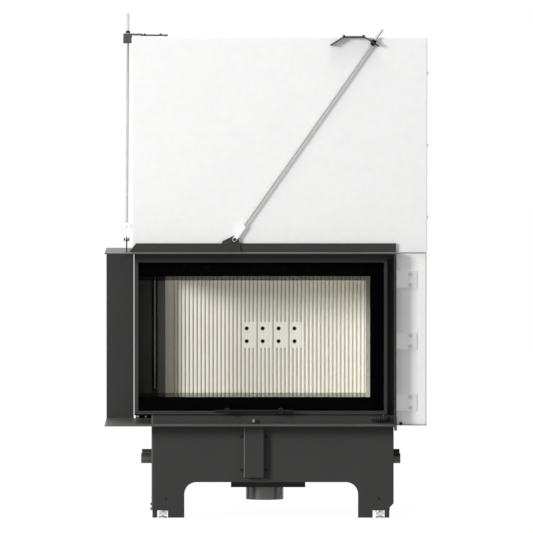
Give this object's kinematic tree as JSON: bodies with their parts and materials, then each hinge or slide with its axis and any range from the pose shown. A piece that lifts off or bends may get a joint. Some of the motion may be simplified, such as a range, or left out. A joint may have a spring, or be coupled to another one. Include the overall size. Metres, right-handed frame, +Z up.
{
  "type": "fireplace insert",
  "caption": "Built-in corner fireplace insert: glazed door lifts into a tall shaft, ribbed lining, arched base with air spigot, flanges and stay rods.",
  "frame": {"origin": "middle of the overall box in plan, on the floor under the levelling feet", "axes": "+Z up, the glazed front faces -Y, the glazed side faces -X"},
  "size_m": [1.064, 0.61, 1.6573],
  "materials": {
    "black_steel": "fine-textured powder coat",
    "chrome": "polished",
    "dark_steel": "heat-resistant matt paint",
    "galvanised": "galvanised sheet",
    "glass": "clear glass-ceramic with a black printed border",
    "lining": "cream refractory",
    "rope": "stranded wire",
    "steel": "bare steel",
    "zinc": "zinc plated"
  },
  "bodies": {
    "chassis": {"air_box": "black_steel", "air_cover": "black_steel", "air_spigot": "black_steel", "baffle_lower": "lining", "baffle_upper": "dark_steel", "base_end_plates": "black_steel", "base_side_plates": "black_steel", "bearing_plates": "galvanised", "casing_brackets": "galvanised", "casing_screws": "zinc", "clevis_bolts": "zinc", "clevises": "zinc", "cover_screws": "black_steel", "deck": "black_steel", "door_surround": "black_steel", "firebox_top": "dark_steel", "firebox_walls": "dark_steel", "flue_outlet": "dark_steel", "foot_plates": "black_steel", "guide_rods": "zinc", "handling_tubes": "black_steel", "hat_brackets": "black_steel", "hearth_floor": "lining", "latch_bracket": "black_steel", "lining_back": "lining", "lining_side": "lining", "lower_flange": "black_steel", "rear_left_panel": "black_steel", "rear_pillar": "dark_steel", "right_casing": "galvanised", "ropes": "rope", "shaft_cover": "galvanised", "shaft_fixings": "galvanised", "shaft_front_sheet": "galvanised", "shaft_inner_sheets": "galvanised", "shaft_side_sheets": "galvanised", "stay_lugs": "black_steel", "stay_rods": "zinc", "upper_flange": "black_steel", "upstand": "black_steel"},
    "door": {"door_frame": "black_steel", "door_glass": "glass", "glass_clips": "dark_steel", "handle_bosses": "black_steel", "handle_bar": "black_steel", "carriages": "dark_steel"},
    "counterweight_right": {"counterweight_right": "steel"},
    "counterweight_left": {"counterweight_left": "steel"},
    "sync_shaft": {"sync_shaft": "steel"},
    "idler_right_top": {"idler_right_top": "steel"},
    "idler_right_front": {"idler_right_front": "steel"},
    "idler_right_back": {"idler_right_back": "steel"},
    "idler_left_low": {"idler_left_low": "steel"},
    "air_lever": {"air_lever": "steel", "lever_knob": "chrome"},
    "latch": {"latch_barrel": "black_steel"},
    "foot_front_left": {"foot_front_left": "zinc"},
    "foot_rear_left": {"foot_rear_left": "zinc"},
    "foot_front_right": {"foot_front_right": "zinc"},
    "foot_rear_right": {"foot_rear_right": "zinc"}
  },
  "joints": [
    {"name": "door_lift", "type": "slide", "parent": "chassis", "child": "door", "axis": [0, 0, 1], "range_m": [0, 0.48]},
    {"name": "counterweight_right_slide", "type": "slide", "parent": "chassis", "child": "counterweight_right", "axis": [0, 0, 1], "range_m": [-0.48, 0]},
    {"name": "counterweight_left_slide", "type": "slide", "parent": "chassis", "child": "counterweight_left", "axis": [0, 0, 1], "range_m": [-0.48, 0]},
    {"name": "sync_shaft_turn", "type": "hinge", "parent": "chassis", "child": "sync_shaft", "pos_m": [0, 0.22, 1.5], "axis": [1, 0, 0], "range_deg": [-917, 0]},
    {"name": "idler_right_top_turn", "type": "hinge", "parent": "chassis", "child": "idler_right_top", "pos_m": [0.405, -0.11, 1.5], "axis": [1, 0, 0], "range_deg": [-917, 0]},
    {"name": "idler_right_front_turn", "type": "hinge", "parent": "chassis", "child": "idler_right_front", "pos_m": [0.405, -0.11, 0.38], "axis": [1, 0, 0], "range_deg": [-917, 0]},
    {"name": "idler_right_back_turn", "type": "hinge", "parent": "chassis", "child": "idler_right_back", "pos_m": [0.405, 0.22, 0.38], "axis": [1, 0, 0], "range_deg": [-917, 0]},
    {"name": "idler_left_low_turn", "type": "hinge", "parent": "chassis", "child": "idler_left_low", "pos_m": [-0.39, 0.22, 0.38], "axis": [1, 0, 0], "range_deg": [-917, 0]},
    {"name": "air_lever_swing", "type": "hinge", "parent": "chassis", "child": "air_lever", "pos_m": [-0.0422, -0.2225, 0.16], "axis": [0, 1, 0], "range_deg": [-8, 8]},
    {"name": "latch_turn", "type": "hinge", "parent": "chassis", "child": "latch", "pos_m": [0.3715, -0.221, 0.33], "axis": [1, 0, 0], "range_deg": [0, 90]},
    {"name": "foot_front_left_turn", "type": "hinge", "parent": "chassis", "child": "foot_front_left", "pos_m": [-0.342, -0.181, 0.03], "axis": [0, 0, 1], "continuous": true},
    {"name": "foot_rear_left_turn", "type": "hinge", "parent": "chassis", "child": "foot_rear_left", "pos_m": [-0.342, 0.161, 0.03], "axis": [0, 0, 1], "continuous": true},
    {"name": "foot_front_right_turn", "type": "hinge", "parent": "chassis", "child": "foot_front_right", "pos_m": [0.374, -0.181, 0.03], "axis": [0, 0, 1], "continuous": true},
    {"name": "foot_rear_right_turn", "type": "hinge", "parent": "chassis", "child": "foot_rear_right", "pos_m": [0.374, 0.161, 0.03], "axis": [0, 0, 1], "continuous": true}
  ],
  "couplings": [
    {"joint": "counterweight_right_slide", "follows": "door_lift", "ratio": -1},
    {"joint": "counterweight_left_slide", "follows": "door_lift", "ratio": -1},
    {"joint": "sync_shaft_turn", "follows": "door_lift", "rad_per_m": -33.333},
    {"joint": "idler_right_top_turn", "follows": "door_lift", "rad_per_m": -33.333},
    {"joint": "idler_right_front_turn", "follows": "door_lift", "rad_per_m": -33.333},
    {"joint": "idler_right_back_turn", "follows": "door_lift", "rad_per_m": -33.333},
    {"joint": "idler_left_low_turn", "follows": "door_lift", "rad_per_m": -33.333}
  ]
}
